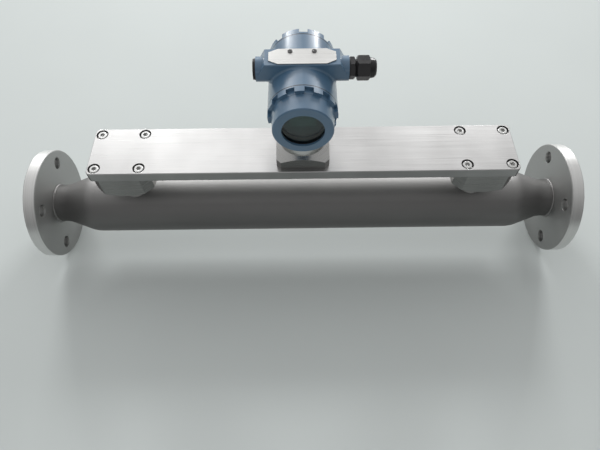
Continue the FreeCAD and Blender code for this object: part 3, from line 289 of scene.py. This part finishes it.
def satin_paint(name, colour, rough, joints, joint_half):
    """Powder coat with a fine orange peel and slight dust, and dark lines at the joints at places along Y,
    partly grime and partly a painted shadow gap.
    """
    finish = Finish(name, Specular_IOR_Level=0.4, Coat_Weight=1.0, Coat_Roughness=0.22)
    peel = finish.noise(even(700.0), detail=1.0)
    dust = finish.noise(even(30.0), detail=5.0)
    tone = finish.tones(dust, colour, low=1.0, high=1.2, end=0.8)
    along = finish.along(finish.place, "Y")
    end_face = finish.size_along(finish.facing, "Y")
    # Dark lines along the cap joints on outer faces: grime and a painted shadow gap.
    for joint in joints:
        grime_and_painted_shade = finish.spread(finish.distance(along, joint), low=0.15, high=1.0,
                              start=joint_half, end=1.6 * joint_half)
        tone = finish.multiplied(tone, finish.math("MAXIMUM", grime_and_painted_shade, end_face))
    finish.set("Base Color", tone)
    finish.set("Roughness", finish.spread(dust, low=rough - 0.04, high=rough + 0.08))
    finish.relief(peel, depth=0.00008, strength=0.3)
    return finish.material


def moulded(name, colour, rough, grain=1500.0, gloss=0.5):
    """Moulded plastic or rubber with a fine grain and worn patches."""
    finish = Finish(name, Specular_IOR_Level=gloss)
    texture = finish.noise(even(grain), detail=2.0)
    patches = finish.noise(even(60.0), detail=4.0)
    finish.set("Base Color", finish.tones(patches, colour, low=1.0, high=1.4, end=0.75))
    finish.set("Roughness", finish.spread(patches, low=rough - 0.06, high=rough + 0.08))
    finish.relief(texture, depth=0.00006, strength=0.4)
    return finish.material


def clear_glass(name, colour):
    """Toughened glass with a few faint smears."""
    finish = Finish(name, IOR=1.5, Specular_IOR_Level=0.17, Transmission_Weight=1.0)
    finish.set("Base Color", (*colour, 1.0))
    smear = finish.noise((60.0, 60.0, 160.0))
    finish.set("Roughness", finish.spread(smear, low=0.0, high=0.05, start=0.45, end=0.8))
    return finish.material


def circuit_board(name, resist, track):
    """Solder resist with a net of copper tracks under it."""
    finish = Finish(name, Roughness=0.35)
    cells = finish.node("ShaderNodeTexVoronoi", {"Vector": finish.place, "Scale": 330.0},
                        feature="DISTANCE_TO_EDGE")
    edge = cells.outputs["Distance"]
    finish.set("Base Color", finish.ramp(edge, (0.0, track), (0.12, resist)))
    finish.relief(edge, depth=0.00003, strength=0.4)
    return finish.material


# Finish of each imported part
STEEL = (0.625, 0.622, 0.617)
LENGTHWISE = (8.0, 1400.0, 1400.0)
UPRIGHT = (15.0, 15.0, 1100.0)
FINE = even(900.0)

case = blasted_metal("case_steel", (0.39, 0.386, 0.38), rough=0.54)
weld_metal = brushed_metal("weld_metal", (0.3, 0.295, 0.29), even(500.0), rough=0.36, contrast=0.15)
flange_steel = flange_metal("flange_steel", (0.64, 0.64, 0.63), rough=0.36)
collar_steel = turned_metal("collar_steel", (0.74, 0.74, 0.73), "Z", rough=0.15)
# A side tone below 1 darkens upright faces with painted shade.
block_steel = brushed_metal("block_steel", (0.6, 0.6, 0.585), UPRIGHT,
                            rough=0.28, contrast=0.04, painted_side_shade=0.52, cut=0.12)
# A darker copy of the block steel: painted shade on the sensor base.
base_steel = brushed_metal("base_steel", (0.46, 0.46, 0.45), UPRIGHT,
                           rough=0.28, contrast=0.04, painted_side_shade=0.4, cut=0.12)
plate_steel = brushed_metal("plate_steel", STEEL, LENGTHWISE, rough=0.3, painted_side_shade=0.6)
name_steel = brushed_metal("nameplate_steel", (0.68, 0.68, 0.665), LENGTHWISE,
                           rough=0.3, contrast=0.04, painted_side_shade=0.6)
screw_steel = brushed_metal("screw_steel", (0.66, 0.66, 0.65), FINE, rough=0.25)
# A darker copy of the screw steel: painted reflection standing in for dark surroundings on the nameplate
# screws.
shaded_screw_steel = brushed_metal("dark_screw_steel", (0.2, 0.2, 0.2), FINE, rough=0.25)
spring_steel = brushed_metal("spring_steel", STEEL, even(300.0), rough=0.18)
brass = brushed_metal("standoff_brass", (0.75, 0.55, 0.24), FINE, rough=0.28)
aluminium = turned_metal("bare_aluminium", (0.78, 0.78, 0.79), "Y", rough=0.3, centre=head_centre)
paint = satin_paint("slate_paint", (0.07, 0.147, 0.238), 0.4, cap_joints, CAP_JOINT_HALF)
rubber = moulded("seal_rubber", (0.013, 0.013, 0.014), rough=0.6)
nylon = moulded("black_nylon", (0.012, 0.012, 0.013), rough=0.28, gloss=0.38)
fibre = moulded("gasket_sheet", (0.09, 0.1, 0.09), rough=0.8, grain=900.0)
bezel = moulded("display_plastic", (0.014, 0.017, 0.018), rough=0.5, gloss=0.2)
screen = moulded("display_screen", (0.06, 0.095, 0.075), rough=0.15, grain=300.0, gloss=0.3)
terminal = moulded("terminal_plastic", (0.03, 0.07, 0.04), rough=0.5)
glass = clear_glass("window_glass", (0.42, 0.64, 0.63))
board = circuit_board("circuit_board", resist=(0.012, 0.11, 0.035), track=(0.03, 0.2, 0.06))

DRESS = {
    case: ["measuring_tube", "inlet_reducer", "outlet_reducer", "upstream_nozzle", "downstream_nozzle"],
    flange_steel: ["inlet_flange", "outlet_flange"],
    block_steel: ["upstream_block", "downstream_block"],
    base_steel: ["sensor_base"],
    plate_steel: ["bridge_plate", "channel_cover"],
    name_steel: ["nameplate"],
    screw_steel: ["plate_screws", "cover_screws", "base_screws", "swivel_lock_screw"],
    shaded_screw_steel: ["nameplate_screws"],
    spring_steel: ["upstream_diaphragm", "downstream_diaphragm", "upstream_capillary",
                   "downstream_capillary", "sensor_capsule"],
    collar_steel: ["neck_collar"],
    paint: ["housing", "front_cap", "rear_cap"],
    rubber: ["neck_seal", "front_cap_seal", "rear_cap_seal", "window_gasket", "plug_washer",
             "gland_washer", "gland_insert"],
    nylon: ["conduit_plug", "gland_body", "gland_nut"],
    fibre: ["upstream_gasket", "downstream_gasket"],
    bezel: ["display_module"],
    terminal: ["terminal_block"],
    brass: ["board_standoffs", "display_standoffs", "terminal_screws", "earth_screw"],
    aluminium: ["glass_retaining_ring"],
    glass: ["window_glass"],
    board: ["main_board", "sensor_board"],
}

for material, names in DRESS.items():
    for name in names:
        slots = nodes[name].data.materials
        slots.clear()
        slots.append(material)


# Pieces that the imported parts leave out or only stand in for
AXES = {
    "X": (Vector((1, 0, 0)), Vector((0, 1, 0)), Vector((0, 0, 1))),
    "Y": (Vector((0, 1, 0)), Vector((0, 0, 1)), Vector((1, 0, 0))),
    "Z": (Vector((0, 0, 1)), Vector((1, 0, 0)), Vector((0, 1, 0))),
}


def about(axis, centre, along, radius, angle):
    """A point on a ring about an axis through a centre."""
    forward, first, second = AXES[axis]
    return centre + forward * along + (first * math.cos(angle) + second * math.sin(angle)) * radius


def quads(rows, columns, closed_rows=True):
    """Faces of a grid of points whose rows are rings, with the last row joined to the first or not."""
    faces = []
    for row in range(rows if closed_rows else rows - 1):
        for column in range(columns):
            next_row = (row + 1) % rows * columns
            next_column = (column + 1) % columns
            faces.append((row * columns + column, next_row + column,
                          next_row + next_column, row * columns + next_column))
    return faces


def piece(name, points, faces, material, body):
    """A new mesh that rides with a body and takes its finish from a slot."""
    mesh = bpy.data.meshes.new(name)
    mesh.from_pydata(points, [], faces)
    shape = bmesh.new()
    shape.from_mesh(mesh)
    bmesh.ops.recalc_face_normals(shape, faces=shape.faces)
    shape.to_mesh(mesh)
    shape.free()
    mesh.shade_smooth()
    mesh.materials.append(material)
    made = bpy.data.objects.new(name, mesh)
    bpy.context.scene.collection.objects.link(made)
    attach(made, body)
    return made


# Round rubber rings
SEAL_ROWS = 120
SEAL_COLUMNS = 16
SEAL_FILL = 0.95


def round_seal(node, axis, body):
    """A round rubber ring in the place of a square one, which it nearly fills."""
    low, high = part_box(node)
    centre = middle(node)
    half = (high - low) / 2
    thick = half["XYZ".index(axis)] * SEAL_FILL
    reach = max(half) - thick
    points = []
    for row in range(SEAL_ROWS):
        for column in range(SEAL_COLUMNS):
            turn = 2 * math.pi * column / SEAL_COLUMNS
            points.append(about(axis, centre, thick * math.sin(turn),
                                reach + thick * math.cos(turn), 2 * math.pi * row / SEAL_ROWS))
    seal = piece(f"round_{node}", points, quads(SEAL_ROWS, SEAL_COLUMNS), rubber, body)
    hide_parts(node)


round_seal("front_cap_seal", "Y", "front_seal")
round_seal("rear_cap_seal", "Y", "rear_seal")
round_seal("neck_seal", "Z", "meter_body")


# Weld beads, with angles in degrees and ripples as shares of the bead's size
BEAD_COLUMNS = 9
BEAD_START = -8
BEAD_SPAN = 106
RIPPLE_STEPS = 6
RIPPLE_BOW = 0.8
RIPPLE_LOW = 0.94
RIPPLE_HEIGHT = 0.12
RIPPLE_FULLNESS = 0.7


def bead_sweep(column):
    """The angle across a weld bead, which ends a little under the two faces that it joins."""
    return math.radians(BEAD_START + BEAD_SPAN * column / (BEAD_COLUMNS - 1))


def bead_swell(size, row, column):
    """The thickness of a weld bead, whose ripples overlap like scales and bow in the middle."""
    bow = RIPPLE_BOW * math.cos(bead_sweep(column) - math.pi / 4)
    ripple = (row / RIPPLE_STEPS + bow) % 1.0
    return size * (RIPPLE_LOW + RIPPLE_HEIGHT * math.sin(math.pi * ripple) ** RIPPLE_FULLNESS)


def weld_ring(name, axis, centre, radius, side, size, ripples):
    """A fillet weld round a pipe where it meets a flat face on its plus or minus side."""
    rows = ripples * RIPPLE_STEPS
    points = []
    for row in range(rows):
        for column in range(BEAD_COLUMNS):
            swell = bead_swell(size, row, column)
            sweep = bead_sweep(column)
            points.append(about(axis, centre, -side * swell * math.cos(sweep),
                                radius + swell * math.sin(sweep), 2 * math.pi * row / rows))
    piece(name, points, quads(rows, BEAD_COLUMNS), weld_metal, "meter_body")


def saddle_weld(name, centre, radius, size, ripples):
    """A fillet weld round the foot of an upright stub on the measuring tube."""
    rows = ripples * RIPPLE_STEPS
    points = []
    for row in range(rows):
        angle = 2 * math.pi * row / rows
        outward = Vector((math.cos(angle), math.sin(angle), 0))
        foot = centre + outward * radius
        foot.z = math.sqrt(TUBE_RADIUS ** 2 - foot.y ** 2)
        normal = Vector((0, foot.y, foot.z)).normalized()
        slope = (outward - normal * outward.dot(normal)).normalized()
        for column in range(BEAD_COLUMNS):
            swell = bead_swell(size, row, column)
            sweep = bead_sweep(column)
            rise = Vector((0, 0, swell * math.cos(sweep)))
            points.append(foot + rise + slope * swell * math.sin(sweep))
    piece(name, points, quads(rows, BEAD_COLUMNS), weld_metal, "meter_body")


for end, side in (("inlet", -1), ("outlet", 1)):
    low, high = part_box(f"{end}_flange")
    seat = high.x if side < 0 else low.x
    weld_ring(f"{end}_flange_weld", "X", Vector((seat, 0, 0)), PIPE_RADIUS, side,
              size=0.0018, ripples=110)
for end in ("upstream", "downstream"):
    low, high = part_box(f"{end}_nozzle")
    centre = middle(f"{end}_nozzle")
    stub = (high.x - low.x) / 2
    weld_ring(f"{end}_block_weld", "Z", Vector((centre.x, 0, high.z)), stub, side=1,
              size=0.0016, ripples=90)
    saddle_weld(f"{end}_tube_weld", Vector((centre.x, 0, 0)), stub, size=0.0022, ripples=72)


# Threads, with the ridge's corners as shares of pitch and height
RIDGE = ((-0.42, -0.2), (-0.12, 1.0), (0.12, 1.0), (0.42, -0.2))
RIDGE_HEIGHT = 0.00018
RIDGE_TIP = 0.02
RIDGE_RISE = 6
STEPS_A_TURN = 72
CAP_THREAD_LENGTH = 0.0078
CAP_THREAD_SETBACK = 0.0008
GLAND_THREAD_LENGTH = 0.0122
GLAND_THREAD_SETBACK = 0.0004


def thread(name, axis, centre, start, length, radius, pitch, material, body):
    """A shallow helical ridge round a plain shank, which fades out at both ends."""
    turns = length / pitch
    steps = int(turns * STEPS_A_TURN)
    points = []
    for step in range(steps + 1):
        share = step / steps
        fade = min(1.0, RIDGE_TIP + RIDGE_RISE * share, RIDGE_TIP + RIDGE_RISE * (1 - share))
        for along, rise in RIDGE:
            points.append(about(axis, centre, start + length * share + along * pitch,
                                radius + RIDGE_HEIGHT * rise * fade, 2 * math.pi * turns * share))
    faces = quads(steps + 1, len(RIDGE), closed_rows=False)
    first_end = tuple(range(len(RIDGE)))
    last_end = tuple(len(points) - 1 - corner for corner in first_end)
    piece(name, points, faces + [first_end, last_end], material, body)


head_line = Vector((0, 0, head_centre.z))
thread_starts = {
    "front_cap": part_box("front_cap")[1].y - CAP_THREAD_SETBACK - CAP_THREAD_LENGTH,
    "rear_cap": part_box("rear_cap")[0].y + CAP_THREAD_SETBACK,
}
for cap, start in thread_starts.items():
    thread(f"{cap}_thread", "Y", head_line, start, CAP_THREAD_LENGTH, SKIRT_RADIUS, CAP_PITCH,
           paint, cap)

gland_line = middle("gland_body")
gland_line.x = 0
gland_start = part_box("gland_body")[1].x - GLAND_THREAD_SETBACK - GLAND_THREAD_LENGTH
thread("gland_thread", "X", gland_line, gland_start, GLAND_THREAD_LENGTH, GLAND_THREAD_RADIUS, GLAND_PITCH,
       nylon, "head")


# Screen of the display
CORNER_STEPS = 8


def pane(name, centre, width, height, depth, bevel, corner, material, body):
    """A thin upright pane with round corners and a bevelled front that looks along -Y."""
    rings = ((0.0, 0.0), (0.0, depth - bevel), (bevel, depth))
    points = []
    for inset, forward in rings:
        reach = corner - inset
        for side_x, side_z, start in ((1, 1, 0), (-1, 1, 90), (-1, -1, 180), (1, -1, 270)):
            for step in range(CORNER_STEPS):
                angle = math.radians(start + 90 * step / (CORNER_STEPS - 1))
                across = side_x * (width / 2 - corner) + reach * math.cos(angle)
                painted_top_light = side_z * (height / 2 - corner) + reach * math.sin(angle)
                points.append(centre + Vector((across, -forward, painted_top_light)))
    count = 4 * CORNER_STEPS
    faces = quads(len(rings), count, closed_rows=False)
    back = tuple(range(count))
    front = tuple(range(2 * count, 3 * count))
    piece(name, points, faces + [back, front], material, body)


screen_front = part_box("display_module")[0].y
pane("display_pane", Vector((0, screen_front, head_centre.z)), width=0.031, height=0.017, depth=0.0006,
     bevel=0.00024, corner=0.0012, material=screen, body="head")


# Floor, light and camera
FLOOR_LEVEL = cad_box[0][2]
FLOOR_REACH = 9.0
FLOOR_CELLS = 8
FLOOR_COLOUR = (0.62, 0.66, 0.65)
LAMP_TARGET = Vector((0, 0, 0.1))
STRIP_SPREAD = 90.0
SKY_MIDDLE = (-0.12, 0.5, 0.857)
SKY_LEVELS = {"From Min": -0.35, "From Max": 0.95, "To Min": 0.06, "To Max": 0.81}
BACKDROP_LEVEL = 0.9
CAMERA_PLACE = Vector((-0.003457, -0.451027, 0.651928))
CAMERA_YAW = -0.004
CAMERA_PITCH = -1.015
CAMERA_ROLL = -0.015
CAMERA_LENS = 30.155


def pale_floor():
    """A wide plain floor under the flanges."""
    mesh = bpy.data.meshes.new("floor")
    shape = bmesh.new()
    bmesh.ops.create_grid(shape, x_segments=FLOOR_CELLS, y_segments=FLOOR_CELLS, size=FLOOR_REACH,
                          matrix=Matrix.Translation((0, 0, FLOOR_LEVEL)))
    shape.to_mesh(mesh)
    shape.free()
    floor = bpy.data.objects.new("floor", mesh)
    bpy.context.scene.collection.objects.link(floor)
    finish = Finish("floor_paint", Roughness=0.8, Specular_IOR_Level=0.1)
    cloud = finish.noise(even(2.0))
    finish.set("Base Color", finish.tones(cloud, FLOOR_COLOUR, low=0.96, high=1.0))
    mesh.materials.append(finish.material)


def soft_lamp(name, place, width, depth, power, spread=180.0):
    """A rectangular soft box aimed at the object, whose light spreads over so many degrees."""
    data = bpy.data.lights.new(name, "AREA")
    data.shape = "RECTANGLE"
    data.size = width
    data.size_y = depth
    data.energy = power
    data.spread = math.radians(spread)
    lamp = bpy.data.objects.new(name, data)
    lamp.location = place
    aim = LAMP_TARGET - Vector(place)
    lamp.rotation_euler = aim.to_track_quat("-Z", "Y").to_euler()
    bpy.context.scene.collection.objects.link(lamp)


def studio_world():
    """Soft light all round, brightest above and behind the object, and an even backdrop."""
    world = bpy.data.worlds.new("studio")
    bpy.context.scene.world = world
    world.use_nodes = True
    tree = world.node_tree
    background = tree.nodes["Background"]
    background.inputs["Color"].default_value = (*WHITE, 1.0)
    place = tree.nodes.new("ShaderNodeTexCoord")
    facing = tree.nodes.new("ShaderNodeVectorMath")
    facing.operation = "DOT_PRODUCT"
    facing.inputs[1].default_value = SKY_MIDDLE
    tree.links.new(place.outputs["Generated"], facing.inputs[0])
    level = tree.nodes.new("ShaderNodeMapRange")
    for socket, value in SKY_LEVELS.items():
        level.inputs[socket].default_value = value
    tree.links.new(facing.outputs["Value"], level.inputs["Value"])
    seen = tree.nodes.new("ShaderNodeLightPath")
    strength = tree.nodes.new("ShaderNodeMix")
    strength.inputs["B"].default_value = BACKDROP_LEVEL
    tree.links.new(seen.outputs["Is Camera Ray"], strength.inputs["Factor"])
    tree.links.new(level.outputs["Result"], strength.inputs["A"])
    tree.links.new(strength.outputs["Result"], background.inputs["Strength"])


def photo_camera():
    """The camera at the photograph's view, turned by its yaw, pitch and roll in radians."""
    forward = Vector((math.sin(CAMERA_YAW) * math.cos(CAMERA_PITCH),
                      math.cos(CAMERA_YAW) * math.cos(CAMERA_PITCH), math.sin(CAMERA_PITCH)))
    level_right = Vector((math.cos(CAMERA_YAW), -math.sin(CAMERA_YAW), 0))
    level_up = level_right.cross(forward)
    right = math.cos(CAMERA_ROLL) * level_right + math.sin(CAMERA_ROLL) * level_up
    up = math.cos(CAMERA_ROLL) * level_up - math.sin(CAMERA_ROLL) * level_right
    turn = Matrix((right, up, -forward)).transposed()
    data = bpy.data.cameras.new("photo_camera")
    data.lens = CAMERA_LENS
    camera = bpy.data.objects.new("photo_camera", data)
    camera.matrix_world = Matrix.Translation(CAMERA_PLACE) @ turn.to_4x4()
    bpy.context.scene.collection.objects.link(camera)
    bpy.context.scene.camera = camera


pale_floor()
soft_lamp("left_window", (-1.05, 2.2, 1.85), width=1.9, depth=1.9, power=7)
soft_lamp("left_strip", (-1.0, 2.62, 1.15), width=0.9, depth=0.5, power=9.2, spread=STRIP_SPREAD)
soft_lamp("right_strip", (1.12, 2.62, 1.15), width=0.9, depth=0.5, power=10.4, spread=STRIP_SPREAD)
soft_lamp("front_fill", (0.0, -2.6, 1.0), width=2.6, depth=0.9, power=4.8)
studio_world()
photo_camera()
bpy.context.scene.view_settings.view_transform = "Standard"
